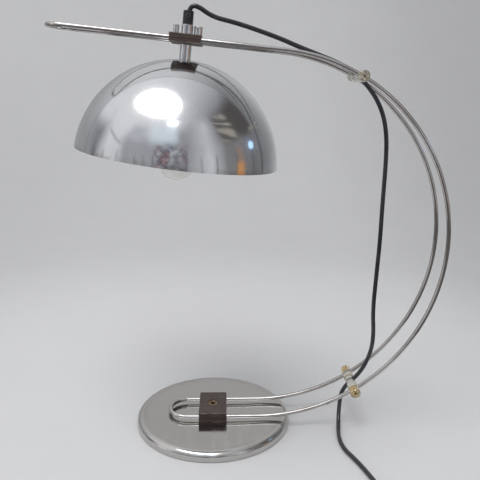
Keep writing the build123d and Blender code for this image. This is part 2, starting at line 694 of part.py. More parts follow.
with BuildPart() as cord_coil:
    with BuildSketch(Plane(origin=(COIL_C[0], COIL_C[1], 0.1), z_dir=(0, 0, 1))):
        Circle(COIL_OUT)
        Circle(COIL_IN, mode=Mode.SUBTRACT)
    extrude(amount=COIL_H - 0.1)
    fillet(cord_coil.edges(), 2.8)
save(cord_coil, "cord_coil")

for n, l in (("head", head_line), ("hang", hang_line), ("floor", floor_line),
             ("lead", lead_line), ("tail", tail_line)):
    length = sum(e.length for e in l.edges())
    print(n, "length", round(length, 1), "section x length", round(length * pi * r_cord ** 2))

# ========================================================= IN-LINE SWITCH
sw_mid = Vector((sw_a[0] + sw_b[0]) / 2, (sw_a[1] + sw_b[1]) / 2, 0)
sw_plane = Plane(origin=sw_mid, x_dir=SW_DIR, z_dir=(0, 0, 1))
SW_SPLIT = 8.5

with BuildPart() as switch_base:
    with BuildSketch(sw_plane.offset(0.1)):
        SlotOverall(SW_L, SW_W)
    extrude(amount=SW_SPLIT - 0.1)
    fillet(switch_base.edges().group_by(Axis.Z)[0], 2.0)
    with BuildSketch(sw_plane.offset(2.2)):
        SlotOverall(SW_L - 4.4, SW_W - 4.4)
    extrude(amount=10, mode=Mode.SUBTRACT)
    with BuildSketch(Plane(origin=sw_at(-2), z_dir=SW_DIR)):
        Circle(r_cord + 0.03)
    extrude(amount=SW_L + 4, mode=Mode.SUBTRACT)
save(switch_base, "switch_base")

with BuildPart() as switch_cover:
    with BuildSketch(sw_plane.offset(SW_SPLIT + 0.05)):
        SlotOverall(SW_L, SW_W)
    extrude(amount=SW_H - SW_SPLIT - 0.05)
    fillet(switch_cover.edges().group_by(Axis.Z)[-1], 3.2)
    with BuildSketch(sw_plane.offset(SW_SPLIT - 1)):
        SlotOverall(SW_L - 4.4, SW_W - 4.4)
    extrude(amount=SW_H - SW_SPLIT + 1 - 2.2, mode=Mode.SUBTRACT)
    with BuildSketch(sw_plane.offset(SW_H - 6)):
        Rectangle(23.4, 12.6)
    extrude(amount=10, mode=Mode.SUBTRACT)
    with BuildSketch(Plane(origin=sw_at(-2), z_dir=SW_DIR)):
        Circle(r_cord + 0.03)
    extrude(amount=SW_L + 4, mode=Mode.SUBTRACT)
save(switch_cover, "switch_cover")

SW_PIN = 14.6                         # height of the rocker's pivot
rock_side = Plane(origin=(sw_mid.X, sw_mid.Y, 0), x_dir=SW_DIR,
                  z_dir=SW_DIR.cross(Vector(0, 0, 1)))
with BuildPart() as switch_rocker:
    with BuildSketch(rock_side):
        with BuildLine():
            ThreePointArc((-10.0, SW_H + 2.6), (0, SW_H + 0.5), (10.0, SW_H + 0.6))
            Polyline((10.0, SW_H + 0.6), (9.7, SW_PIN - 3.0), (-9.7, SW_PIN - 3.0),
                     (-10.0, SW_H + 2.6))
        make_face()
    extrude(amount=5.9, both=True)
    with BuildSketch(rock_side):
        with Locations((0, SW_PIN)):
            Circle(1.5)
    extrude(amount=7.0, both=True, mode=Mode.SUBTRACT)
save(switch_rocker, "switch_rocker")

with BuildPart() as switch_pin:
    with BuildSketch(rock_side):
        with Locations((0, SW_PIN)):
            Circle(1.45)
    extrude(amount=SW_W / 2 - 2.2, both=True)
save(switch_pin, "switch_pin")

# ==================================================================== PLUG
pl0 = tail_route[-1]
PL_DIR = unit(tail_route[-2], tail_route[-1])
plug_face = Plane(origin=pl0, x_dir=Vector(0, 0, 1).cross(PL_DIR), z_dir=PL_DIR)
with BuildPart() as plug_body:
    with BuildSketch(plug_face.offset(0.1)):
        Circle(4.0)
    with BuildSketch(plug_face.offset(24.0)):
        Circle(5.8)
    loft()
    with BuildSketch(plug_face.offset(24.0)):
        Circle(5.8)
    with BuildSketch(plug_face.offset(36.0)):
        Ellipse(14.5, 11.0)
    with BuildSketch(plug_face.offset(48.0)):
        Ellipse(17.0, 12.8)
    loft()
    with BuildSketch(plug_face.offset(48.0)):
        Ellipse(17.0, 12.8)
    extrude(amount=8.0)
save(plug_body, "plug_body")

with BuildPart() as plug_pins:
    with BuildSketch(plug_face.offset(56.05)):
        with Locations((-9.5, 0), (9.5, 0)):
            Circle(2.4)
    extrude(amount=19.0)
    fillet(plug_pins.faces().sort_by(Axis(origin=pl0, direction=PL_DIR))[-2:].edges(), 1.6)
save(plug_pins, "plug_pins")

print("head origin", HEAD, "P3", P3, "P4", P4, "spacers", SP_UP, SP_LOW)
print("switch", sw_a, sw_b, sw_mid, "plug", pl0, "dir", tuple(PL_DIR))
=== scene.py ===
import math

import bmesh
import bpy
from mathutils import Matrix, Vector


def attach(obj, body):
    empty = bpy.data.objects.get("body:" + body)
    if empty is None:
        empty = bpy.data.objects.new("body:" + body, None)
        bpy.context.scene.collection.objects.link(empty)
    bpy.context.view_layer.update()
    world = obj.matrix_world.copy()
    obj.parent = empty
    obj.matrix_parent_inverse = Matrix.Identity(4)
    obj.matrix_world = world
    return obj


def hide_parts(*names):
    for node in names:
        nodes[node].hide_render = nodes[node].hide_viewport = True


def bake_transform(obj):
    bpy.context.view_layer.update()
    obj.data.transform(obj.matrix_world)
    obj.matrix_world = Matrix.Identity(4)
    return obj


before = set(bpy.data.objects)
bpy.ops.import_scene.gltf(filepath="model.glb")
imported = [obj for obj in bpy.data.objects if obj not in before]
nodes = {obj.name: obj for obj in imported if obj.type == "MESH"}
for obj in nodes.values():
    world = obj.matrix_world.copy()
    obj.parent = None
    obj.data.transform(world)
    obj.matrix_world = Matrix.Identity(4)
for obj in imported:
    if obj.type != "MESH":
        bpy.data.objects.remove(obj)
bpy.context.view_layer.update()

# ------------------------------------------------------------------ camera
PAN, PITCH, ROLL = 0.0244, 0.2480, 0.0038
fwd = Vector((math.sin(PAN) * math.cos(PITCH), math.cos(PAN) * math.cos(PITCH), -math.sin(PITCH)))
right = Vector((math.cos(PAN), -math.sin(PAN), 0.0))
up = right.cross(fwd)
r2 = math.cos(ROLL) * right + math.sin(ROLL) * up
u2 = -math.sin(ROLL) * right + math.cos(ROLL) * up
cam_data = bpy.data.cameras.new("camera")
cam_data.sensor_fit = "HORIZONTAL"
cam_data.sensor_width = 36.0
cam_data.lens = 609.105 / 480.0 * 36.0
cam_data.clip_start = 0.05
cam_data.clip_end = 50.0
camera = bpy.data.objects.new("camera", cam_data)
bpy.context.scene.collection.objects.link(camera)
basis = Matrix((r2, u2, -fwd)).transposed().to_4x4()
camera.matrix_world = Matrix.Translation((0.019356, -0.823652, 0.485527)) @ basis
bpy.context.scene.camera = camera


def add(obj):
    bpy.context.scene.collection.objects.link(obj)
    return obj


# ------------------------------------------------- the head and rod geometry
LEAN = math.radians(5.8)
HEAD = Vector((-0.0304, 0.0, 0.5421265))
HX = Vector((math.cos(LEAN), 0.0, -math.sin(LEAN)))
HZ = Vector((math.sin(LEAN), 0.0, math.cos(LEAN)))


def head_at(u, y, h):
    """A point in millimetres along the rods, across and up the stem, in metres."""
    return HEAD + HX * (u / 1000.0) + Vector((0.0, y / 1000.0, 0.0)) + HZ * (h / 1000.0)


def mm(*p):
    return Vector(p) / 1000.0


def toward(p, d, s):
    return p + Vector(d).normalized() * (s / 1000.0)


# ------------------------------------------------------------------- cords
CORD_D = 0.006
S_UP, S_LOW = mm(194.0, 0.0, 498.1508), mm(204.6, 0.0, 59.7472)
BORE_UP, BORE_LOW = (0.76, 0.0, -0.65), (-0.757, -0.05, -0.652)
SW_DIR = Vector((0.2, -0.98, 0.0)).normalized()
SW_A = Vector((0.216, -0.206, 0.0085))
SW_L = 58.0
COIL = Vector((0.146, -0.266, 0.0))
Z_UP = Vector((0.0, 0.0, 1.0))

head_route = [
    head_at(0, 0, 27.0),
    head_at(0, 0, 39.0),
    mm(-17.4, 0.0, 585.2),
    mm(3.2, 0.6, 570.6),
    mm(30.5, 1.8, 564.6),
    mm(58.0, 2.6, 556.2),
    mm(90.0, 2.2, 545.3),
    mm(122.0, 0.8, 531.9),
    toward(S_UP, BORE_UP, -20.0),
    S_UP,
]
hang_route = [
    S_UP,
    toward(S_UP, BORE_UP, 20.0),
    mm(228.5, 0.6, 455.0),
    mm(236.6, 1.6, 423.0),
    mm(238.2, 2.6, 384.0),
    mm(236.9, 2.2, 330.0),
    mm(236.2, 1.0, 272.0),
    mm(233.8, 0.2, 222.0),
    mm(231.6, -0.6, 171.0),
    mm(235.0, -0.2, 136.5),
    mm(233.2, 0.4, 106.5),
    toward(S_LOW, BORE_LOW, -19.0),
]
floor_route = [
    toward(S_LOW, BORE_LOW, 17.5),
    mm(187.0, -11.5, 21.0),
    mm(183.5, -29.0, 3.1),
    mm(178.6, -62.0, 3.1),
    mm(181.2, -88.0, 3.1),
    mm(191.6, -112.0, 3.1),
    mm(200.4, -138.0, 3.1),
    mm(207.2, -162.0, 3.1),
    mm(210.8, -179.0, 3.6),
    toward(SW_A, SW_DIR, -11.0),
    toward(SW_A, SW_DIR, 6.0),
    toward(SW_A, SW_DIR, 17.0) - Z_UP * 0.0030,
    toward(SW_A, SW_DIR, SW_L / 2) - Z_UP * 0.0030,
    toward(SW_A, SW_DIR, SW_L - 17.0) - Z_UP * 0.0030,
]
lead_route = [
    toward(SW_A, SW_DIR, SW_L - 6.0),
    toward(SW_A, SW_DIR, SW_L + 9.0),
    mm(228.8, -290.0, 3.6),
    mm(220.0, -305.5, 3.1),
    mm(205.0, -315.0, 3.1),
    mm(186.5, -316.5, 3.1),
    COIL + mm(20.0, -41.0, 3.1),
]
tail_route = [
    COIL + mm(-16.0, -36.6, 9.1),
    COIL + mm(-34.0, -39.0, 10.2),
    COIL + mm(-52.0, -40.0, 13.2),
    COIL + mm(-63.0, -40.0, 13.2),
]


def step(a, lo, hi):
    t = min(1.0, max(0.0, (a - lo) / (hi - lo)))
    return t * t * (3 - 2 * t)


# three turns, wound clockwise: outer low, inner low, inner high and out over the top
coil_route = []
TURN_POINTS = 16
for k in range(0, 3 * TURN_POINTS + 1):
    a = 360.0 * k / TURN_POINTS
    r = 36.2 - 6.6 * step(a, 250.0, 340.0) + 4.6 * step(a, 965.0, 1080.0)
    z = 3.1 + 6.0 * step(a, 545.0, 612.0)
    r += 0.35 * math.sin(math.radians(a * 1.7 + 40)) * (1.0 if 30 < a < 1000 else 0.0)
    phi = math.radians(-90.0 - a)
    c = r / 0.981
    coil_route.append(COIL + mm(c * math.cos(phi), c * math.sin(phi), z))


def spline(name, points):
    curve = bpy.data.curves.new(name, "CURVE")
    curve.dimensions = "3D"
    line = curve.splines.new("NURBS")
    line.points.add(len(points) - 1)
    for q, p in zip(line.points, points):
        q.co = (p.x, p.y, p.z, 1.0)
    line.order_u = 3
    line.use_endpoint_u = True
    line.resolution_u = 12
    curve.resolution_u = 12
    return curve


def centreline(name, points):
    """The smooth line that a cord follows, read from its NURBS spline."""
    obj = add(bpy.data.objects.new(name + "_line", spline(name + "_line", points)))
    bpy.context.view_layer.update()
    dg = bpy.context.evaluated_depsgraph_get()
    mesh = bpy.data.meshes.new_from_object(obj.evaluated_get(dg))
    pts = [v.co.copy() for v in mesh.vertices]
    bpy.data.meshes.remove(mesh)
    bpy.data.objects.remove(obj, do_unlink=True)
    return pts


def length_of(pts):
    return sum((b - a).length for a, b in zip(pts, pts[1:]))


def tube_mesh(name, points, d, sides):
    curve = spline(name, points)
    curve.bevel_depth = d / 2
    curve.bevel_resolution = sides
    curve.use_fill_caps = True
    obj = add(bpy.data.objects.new(name + "_c", curve))
    bpy.context.view_layer.update()
    dg = bpy.context.evaluated_depsgraph_get()
    mesh = bpy.data.meshes.new_from_object(obj.evaluated_get(dg))
    bpy.data.objects.remove(obj, do_unlink=True)
    for p in mesh.polygons:
        p.use_smooth = True
    out = add(bpy.data.objects.new(name, mesh))
    mesh.name = name
    return out


# the stretch from the grip to the upper spacer is its own tube; on the lamp it bends as the carriage slides
flex_head = tube_mesh("flex_head", head_route, CORD_D, 6)
head_line = centreline("flex_head", head_route)
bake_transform(flex_head)
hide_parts("cord_head_span")

main_route = hang_route + floor_route + lead_route + coil_route + tail_route
flex_main = tube_mesh("flex_main", main_route, CORD_D, 6)
main_line = centreline("flex_main", main_route)
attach(flex_main, "stand")
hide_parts("cord_hang_run", "cord_floor_run", "cord_lead", "cord_coil", "cord_tail")
print("head cord", round(length_of(head_line), 4), "main cord", round(length_of(main_line), 4))

# --------------------------------------------------------------- node trees
class Tree:
    """Short names for the shader nodes that every material here is made of."""

    def __init__(self, tree):
        self.t = tree

    def new(self, kind, **props):
        n = self.t.nodes.new(kind)
        for k, v in props.items():
            setattr(n, k, v)
        return n

    def put(self, socket, value):
        if isinstance(value, bpy.types.NodeSocket):
            self.t.links.new(value, socket)
        elif value is not None:
            socket.default_value = value

    def math(self, op, a, b=None, c=None, clamp=False):
        n = self.new("ShaderNodeMath", operation=op, use_clamp=clamp)
        for s, v in zip(n.inputs, (a, b, c)):
            self.put(s, v)
        return n.outputs[0]

    def add(self, a, b):
        return self.math("ADD", a, b)

    def mul(self, a, b):
        return self.math("MULTIPLY", a, b)

    def inv(self, a):
        return self.math("SUBTRACT", 1.0, a)

    def smooth(self, x, lo, hi, a=0.0, b=1.0):
        n = self.new("ShaderNodeMapRange", interpolation_type="SMOOTHSTEP")
        for s, v in zip(n.inputs, (x, lo, hi, a, b)):
            self.put(s, v)
        return n.outputs[0]

    def line(self, x, lo, hi, a=0.0, b=1.0):
        n = self.new("ShaderNodeMapRange")
        for s, v in zip(n.inputs, (x, lo, hi, a, b)):
            self.put(s, v)
        return n.outputs[0]

    def band(self, x, lo, hi, soft):
        return self.mul(self.smooth(x, lo - soft, lo + soft), self.smooth(x, hi + soft, hi - soft))

    def mix(self, f, a, b):
        n = self.new("ShaderNodeMix", data_type="RGBA")
        self.put(n.inputs[0], f)
        for s, v in ((n.inputs[6], a), (n.inputs[7], b)):
            if isinstance(v, (tuple, list)) and len(v) == 3:
                v = (*v, 1.0)
            elif isinstance(v, (int, float)):
                v = (v, v, v, 1.0)
            self.put(s, v)
        return n.outputs[2]

    def dot(self, vec, d):
        n = self.new("ShaderNodeVectorMath", operation="DOT_PRODUCT")
        self.put(n.inputs[0], vec)
        self.put(n.inputs[1], tuple(d))
        return n.outputs["Value"]

    def sub(self, vec, p):
        n = self.new("ShaderNodeVectorMath", operation="SUBTRACT")
        self.put(n.inputs[0], vec)
        self.put(n.inputs[1], tuple(p))
        return n.outputs[0]

    def times(self, vec, s):
        n = self.new("ShaderNodeVectorMath", operation="MULTIPLY")
        self.put(n.inputs[0], vec)
        self.put(n.inputs[1], tuple(s))
        return n.outputs[0]

    def size(self, vec):
        n = self.new("ShaderNodeVectorMath", operation="LENGTH")
        self.put(n.inputs[0], vec)
        return n.outputs["Value"]

    def xyz(self, x, y, z):
        n = self.new("ShaderNodeCombineXYZ")
        for s, v in zip(n.inputs, (x, y, z)):
            self.put(s, v)
        return n.outputs[0]

    def split(self, vec):
        n = self.new("ShaderNodeSeparateXYZ")
        self.put(n.inputs[0], vec)
        return n.outputs[0], n.outputs[1], n.outputs[2]

    def noise(self, vec, scale, detail=3.0, rough=0.55, warp=0.0):
        n = self.new("ShaderNodeTexNoise")
        self.put(n.inputs["Vector"], vec)
        n.inputs["Scale"].default_value = scale
        n.inputs["Detail"].default_value = detail
        n.inputs["Roughness"].default_value = rough
        n.inputs["Distortion"].default_value = warp
        return n.outputs[0]

    def specks(self, vec, scale, lo, hi):
        """Scattered spots: 1 in a spot and 0 elsewhere."""
        n = self.new("ShaderNodeTexVoronoi")
        self.put(n.inputs["Vector"], vec)
        n.inputs["Scale"].default_value = scale
        return self.smooth(n.outputs["Distance"], hi, lo)

    def ramp(self, f, stops, ease="LINEAR"):
        n = self.new("ShaderNodeValToRGB")
        n.color_ramp.interpolation = ease
        while len(n.color_ramp.elements) < len(stops):
            n.color_ramp.elements.new(0.5)
        for e, (at, col) in zip(n.color_ramp.elements, stops):
            e.position = at
            e.color = (*col, 1.0) if isinstance(col, (tuple, list)) else (col, col, col, 1.0)
        self.put(n.inputs[0], f)
        return n.outputs[0]

    def bump(self, height, strength, distance, normal=None):
        n = self.new("ShaderNodeBump")
        n.inputs["Strength"].default_value = strength
        n.inputs["Distance"].default_value = distance
        self.put(n.inputs["Height"], height)
        if normal is not None:
            self.put(n.inputs["Normal"], normal)
        return n.outputs[0]


class Mat(Tree):
    """A material with one Principled shader; P is the place in metres in the CAD frame."""

    def __init__(self, name, **constants):
        self.mat = bpy.data.materials.new(name)
        self.mat.use_nodes = True
        super().__init__(self.mat.node_tree)
        self.b = self.t.nodes["Principled BSDF"]
        for k, v in constants.items():
            self.b.inputs[k.replace("_", " ")].default_value = v
        self.P = self.new("ShaderNodeTexCoord").outputs["Object"]
        self.N = self.new("ShaderNodeNewGeometry").outputs["Normal"]

    def out(self, color=None, rough=None, normal=None, **more):
        self.put(self.b.inputs["Base Color"], color)
        self.put(self.b.inputs["Roughness"], rough)
        self.put(self.b.inputs["Normal"], normal)
        for k, v in more.items():
            self.put(self.b.inputs[k.replace("_", " ")], v)
        return self.mat


def head_frame(m, h0=0.0):
    """Along the rods, across, and up the stem, from h0 mm on the stem, and the distance from there."""
    q = m.sub(m.P, head_at(0, 0, h0))
    return m.dot(q, HX), m.dot(q, (0, 1, 0)), m.dot(q, HZ), m.size(q)


M = {}

# the shade: polished chrome outside, white enamel inside
m = Mat("chrome_shade", IOR=1.5)
u, v, h, r = head_frame(m, -159.2)
rim_h = m.dot(m.sub(m.P, head_at(0, 0, -159.2)), (math.sin(math.radians(7.2)), 0.0, math.cos(math.radians(7.2))))
inside = m.smooth(r, 0.13448, 0.13436)
cloud = m.noise(m.P, 14.0, 4.0, 0.6)
haze = m.noise(m.P, 5200.0, 2.0, 0.6)
scratch = m.noise(m.times(m.xyz(m.math("ARCTAN2", v, u), h, r), (3.0, 900.0, 900.0)), 1.0, 3.0, 0.7)
spots = m.specks(m.P, 150.0, 0.05, 0.11)
grime = m.mul(spots, m.smooth(m.noise(m.P, 9.0, 2.0), 0.50, 0.66))
dust = m.smooth(cloud, 0.42, 0.72)
chrome = m.mix(dust, (0.665, 0.675, 0.692), (0.585, 0.592, 0.606))
chrome = m.mix(m.mul(grime, 0.65), chrome, (0.22, 0.2, 0.18))
rim_dull = m.smooth(rim_h, 0.017, 0.0100)
chrome = m.mix(m.mul(rim_dull, m.smooth(m.noise(m.P, 60.0), 0.4, 0.75)), chrome, (0.40, 0.385, 0.36))
enamel = m.mix(m.smooth(m.noise(m.P, 30.0, 4.0), 0.45, 0.8), (0.86, 0.86, 0.84), (0.78, 0.77, 0.73))
rough = m.add(m.smooth(haze, 0.46, 0.66, 0.055, 0.27), m.mul(dust, 0.035))
rough = m.add(rough, m.mul(m.smooth(scratch, 0.58, 0.80), 0.10))
rough = m.add(rough, m.mul(grime, 0.3))
rough_in = m.line(m.noise(m.P, 45.0, 3.0), 0.3, 0.7, 0.28, 0.42)
wave = m.noise(m.P, 13.0, 1.0, 0.4)
peel = m.noise(m.P, 700.0, 2.0, 0.5)
nrm = m.bump(wave, 0.10, 0.0012)
nrm = m.bump(m.mul(inside, peel), 0.12, 0.0002, nrm)
M["shade_chrome"] = m.out(
    m.mix(inside, chrome, enamel),
    m.add(m.mul(rough, m.inv(inside)), m.mul(rough_in, inside)),
    nrm,
    Metallic=m.inv(inside),
)

# the rods: drawn steel, chromed, with the fine dulling that handling leaves
m = Mat("chrome_rod", Metallic=1.0)
fine = m.noise(m.P, 420.0, 3.0, 0.6)
old = m.noise(m.P, 22.0, 4.0, 0.65)
pits = m.mul(m.specks(m.P, 420.0, 0.08, 0.2), m.smooth(old, 0.5, 0.68))
c = m.mix(m.smooth(old, 0.35, 0.75), (0.60, 0.578, 0.565), (0.45, 0.42, 0.40))
c = m.mix(m.mul(pits, 0.6), c, (0.20, 0.17, 0.14))
rg = m.add(m.line(fine, 0.3, 0.7, 0.07, 0.12), m.mul(pits, 0.25))
rg = m.add(rg, m.mul(m.smooth(old, 0.5, 0.8), 0.05))
M["rod_chrome"] = m.out(c, rg, m.bump(fine, 0.03, 0.00002))

# small turned and chromed parts, with their tool marks round the stem's axis
m = Mat("chrome_small", Metallic=1.0)
u, v, h, r = head_frame(m)
rings = m.noise(m.xyz(0.0, 0.0, m.mul(h, 2600.0)), 1.0, 2.0, 0.6)
old = m.noise(m.P, 60.0, 3.0, 0.6)
c = m.mix(m.smooth(old, 0.4, 0.75), (0.66, 0.665, 0.69), (0.52, 0.515, 0.52))
M["small_chrome"] = m.out(c, m.line(rings, 0.3, 0.7, 0.05, 0.12), m.bump(rings, 0.04, 0.00004))

# the base cover: brushed along the rods, its rolled rim polished
m = Mat("steel_brushed", Metallic=1.0, Anisotropic=0.45)
x, y, z = m.split(m.P)
rad = m.size(m.times(m.P, (1, 1, 0)))
streak = m.noise(m.times(m.P, (9.0, 1500.0, 60.0)), 1.0, 4.0, 0.75)
fine = m.noise(m.times(m.P, (60.0, 5200.0, 200.0)), 1.0, 2.0, 0.6)
broad = m.noise(m.times(m.P, (6.0, 90.0, 10.0)), 1.0, 3.0, 0.6)
wear = m.noise(m.P, 26.0, 4.0, 0.6)
smear_and_glint_streaks = m.noise(m.times(m.P, (70.0, 9.0, 10.0)), 1.0, 2.0, 0.5)
polish = m.smooth(rad, 0.1025, 0.1060)
# painted shade: a ragged darker ring where the flat top turns into the rolled rim
edge = m.mul(m.band(rad, 0.0975, 0.1030, 0.003), m.smooth(wear, 0.35, 0.7))
c = m.mix(m.line(streak, 0.3, 0.7), (0.49, 0.47, 0.453), (0.545, 0.528, 0.512))
c = m.mix(m.mul(m.smooth(broad, 0.5, 0.8), 0.3), c, (0.46, 0.435, 0.41))
# painted reflection: pale streaks running front to back are painted on the cover's front half only
c = m.mix(m.mul(m.mul(m.smooth(smear_and_glint_streaks, 0.46, 0.76), m.smooth(y, -0.02, -0.08)), 0.55), c, (0.60, 0.59, 0.578))
c = m.mix(m.mul(edge, 0.3), c, (0.36, 0.32, 0.285))
c = m.mix(m.mul(polish, 0.8), c, (0.57, 0.558, 0.545))
marks = m.mul(m.specks(m.P, 95.0, 0.03, 0.07), m.smooth(wear, 0.5, 0.7))
c = m.mix(m.mul(marks, 0.6), c, (0.25, 0.22, 0.2))
rg = m.line(streak, 0.3, 0.7, 0.065, 0.14)
rg = m.add(rg, m.mul(m.smooth(smear_and_glint_streaks, 0.55, 0.75), 0.08))
rg = m.add(m.mul(rg, m.inv(polish)), m.mul(polish, m.line(wear, 0.3, 0.7, 0.07, 0.14)))
flat = m.inv(polish)
nrm = m.bump(m.mul(streak, flat), 0.05, 0.00010)
nrm = m.bump(m.mul(fine, flat), 0.06, 0.00005, nrm)
nrm = m.bump(wear, 0.05, 0.0006, nrm)
M["brushed_stainless"] = m.out(c, rg, nrm, Tangent=m.xyz(0.0, 1.0, 0.0))


def edge_wear(m, centre, ax, half_size, width, noise_scale=90.0):
    """1 along the edges of a box-shaped block, ragged; ax are its three axes."""
    q = m.sub(m.P, centre)
    near = [m.smooth(m.math("ABSOLUTE", m.dot(q, a)), hs - width, hs - width * 0.25) for a, hs in zip(ax, half_size)]
    two = m.math("MAXIMUM", m.mul(near[0], near[1]), m.math("MAXIMUM", m.mul(near[1], near[2]), m.mul(near[0], near[2])))
    return m.mul(two, m.smooth(m.noise(m.P, noise_scale, 4.0, 0.65), 0.36, 0.60))


def block(name, centre, ax, half_size, painted_light_lift=1.0):
    m = Mat(name, Metallic=0.0, Specular_IOR_Level=0.20)
    q = m.sub(m.P, centre)
    a, b, c_ = (m.dot(q, k) for k in ax)
    brush = m.noise(m.times(m.xyz(a, b, c_), (70.0, 900.0, 1700.0)), 1.0, 3.0, 0.65)
    old = m.noise(m.P, 65.0, 4.0, 0.65)
    wear = edge_wear(m, centre, ax, half_size, 0.0011)
    c = m.mix(m.line(brush, 0.3, 0.7), tuple(painted_light_lift * k for k in (0.050, 0.034, 0.030)), tuple(painted_light_lift * k for k in (0.088, 0.064, 0.056)))
    c = m.mix(m.smooth(old, 0.48, 0.78), c, (0.112, 0.086, 0.075))
    # painted top light: faces turned upwards are painted lighter and blotchy, for the light from above as well as dust
    dust = m.mul(m.smooth(m.split(m.N)[2], 0.80, 0.98), m.line(old, 0.3, 0.7, 0.18, 0.36))
    c = m.mix(dust, c, (0.165, 0.140, 0.128))
    c = m.mix(m.mul(wear, 0.7), c, (0.34, 0.29, 0.25))
    scr = m.noise(m.times(m.xyz(a, b, c_), (1900.0, 120.0, 300.0)), 1.0, 2.0, 0.7)
    c = m.mix(m.mul(m.smooth(scr, 0.68, 0.78), 0.35), c, (0.2, 0.16, 0.14))
    rg = m.add(m.line(brush, 0.3, 0.7, 0.38, 0.50), m.mul(wear, -0.08))
    nrm = m.bump(brush, 0.12, 0.0001)
    return m.out(c, rg, m.bump(old, 0.06, 0.0003, nrm))


X, Y, Z = Vector((1, 0, 0)), Vector((0, 1, 0)), Vector((0, 0, 1))
M["base_block"] = block("block_base", mm(0, 0, 19.35), (X, Y, Z), (0.0202, 0.0318, 0.00715))
# painted light: the head block's colours are painted a quarter lighter than the base block's
M["head_block"] = block("block_head", head_at(0, 0, 0.7), (HX, Y, HZ), (0.0202, 0.0318, 0.0053), 1.25)


def metal(name, light, dark, lo, hi, scale=120.0, stain=(0.2, 0.15, 0.1), stained=0.3, metallic=1.0):
    m = Mat(name, Metallic=metallic)
    n1 = m.noise(m.P, scale, 4.0, 0.65)
    n2 = m.noise(m.P, scale * 6.0, 3.0, 0.6)
    c = m.mix(m.smooth(n1, 0.32, 0.70), light, dark)
    c = m.mix(m.mul(m.smooth(n1, 0.56, 0.75), stained), c, stain)
    rg = m.add(m.line(n2, 0.3, 0.7, lo, hi), m.mul(m.smooth(n1, 0.5, 0.75), 0.08))
    return m.out(c, rg, m.bump(n2, 0.08, 0.0001))


M["brass_dull"] = metal("brass_old", (0.27, 0.195, 0.125), (0.17, 0.118, 0.078), 0.26, 0.42, 160.0, (0.07, 0.05, 0.035), 0.7)
M["brass_bright"] = metal("brass_clean", (0.78, 0.53, 0.24), (0.62, 0.39, 0.15), 0.14, 0.26, 200.0, (0.32, 0.19, 0.07), 0.35)
# the spacers' screws: the same brass, with painted shade down in the sockets and the upper spacer's screws painted
# paler
m = Mat("brass_screws", Metallic=1.0)
n1 = m.noise(m.P, 200.0, 4.0, 0.65)
n2 = m.noise(m.P, 1200.0, 3.0, 0.6)
socket_shade_mask = 0.0
for at_x, at_z in ((0.2046, 0.0597), (0.194, 0.498)):
    q = m.times(m.sub(m.P, (at_x, 0.0, at_z)), (1.0, 0.0, 1.0))
    socket_shade_mask = m.add(socket_shade_mask, m.smooth(m.size(q), 0.0018, 0.0014))
socket_shade_mask = m.mul(socket_shade_mask, m.smooth(m.math("ABSOLUTE", m.split(m.P)[1]), 0.0330, 0.0350))
c = m.mix(m.smooth(n1, 0.32, 0.70), (0.78, 0.53, 0.24), (0.62, 0.39, 0.15))
c = m.mix(m.mul(m.smooth(n1, 0.56, 0.75), 0.35), c, (0.32, 0.19, 0.07))
# painted shade: the sockets' hollows are painted near black
c = m.mix(m.mul(socket_shade_mask, 0.85), c, (0.055, 0.03, 0.015))
# painted light: the upper spacer's screws are painted paler than the lower ones
c = m.mix(m.mul(m.smooth(m.split(m.P)[2], 0.30, 0.40), 0.6), c, (0.82, 0.77, 0.66))
M["brass_screws"] = m.out(c, m.add(m.line(n2, 0.3, 0.7, 0.14, 0.26), m.mul(socket_shade_mask, 0.3)), m.bump(n2, 0.08, 0.0001))
M["zinc"] = metal("zinc_plated", (0.60, 0.60, 0.60), (0.48, 0.475, 0.45), 0.22, 0.38, 140.0, (0.3, 0.28, 0.22), 0.3)
M["raw_iron"] = metal("iron_cast", (0.12, 0.115, 0.11), (0.07, 0.062, 0.056), 0.55, 0.8, 90.0, (0.16, 0.075, 0.04), 0.5, 0.7)
M["bulb_aluminium"] = metal("aluminium_cap", (0.74, 0.74, 0.74), (0.60, 0.60, 0.59), 0.22, 0.36, 180.0, (0.3, 0.29, 0.27), 0.25)
M["pin_nickel"] = metal("nickel_pin", (0.68, 0.67, 0.65), (0.56, 0.55, 0.52), 0.14, 0.26, 210.0, (0.32, 0.3, 0.26), 0.25)
M["tungsten"] = metal("wire_grey", (0.42, 0.41, 0.40), (0.30, 0.29, 0.28), 0.3, 0.45, 400.0, (0.2, 0.2, 0.2), 0.2)


def plastic(name, light, dark, lo, hi, grain, depth, dusty=0.25, **k):
    m = Mat(name, **k)
    g = m.noise(m.P, grain, 2.0, 0.5)
    old = m.noise(m.P, 48.0, 4.0, 0.65)
    fluff = m.mul(m.specks(m.P, 900.0, 0.04, 0.12), m.smooth(old, 0.5, 0.7))
    c = m.mix(m.smooth(old, 0.35, 0.75), dark, light)
    c = m.mix(m.mul(fluff, dusty), c, (0.35, 0.34, 0.32))
    rg = m.add(m.line(g, 0.3, 0.7, lo, hi), m.mul(m.smooth(old, 0.5, 0.8), 0.08))
    return m.out(c, rg, m.bump(g, 0.18, depth))


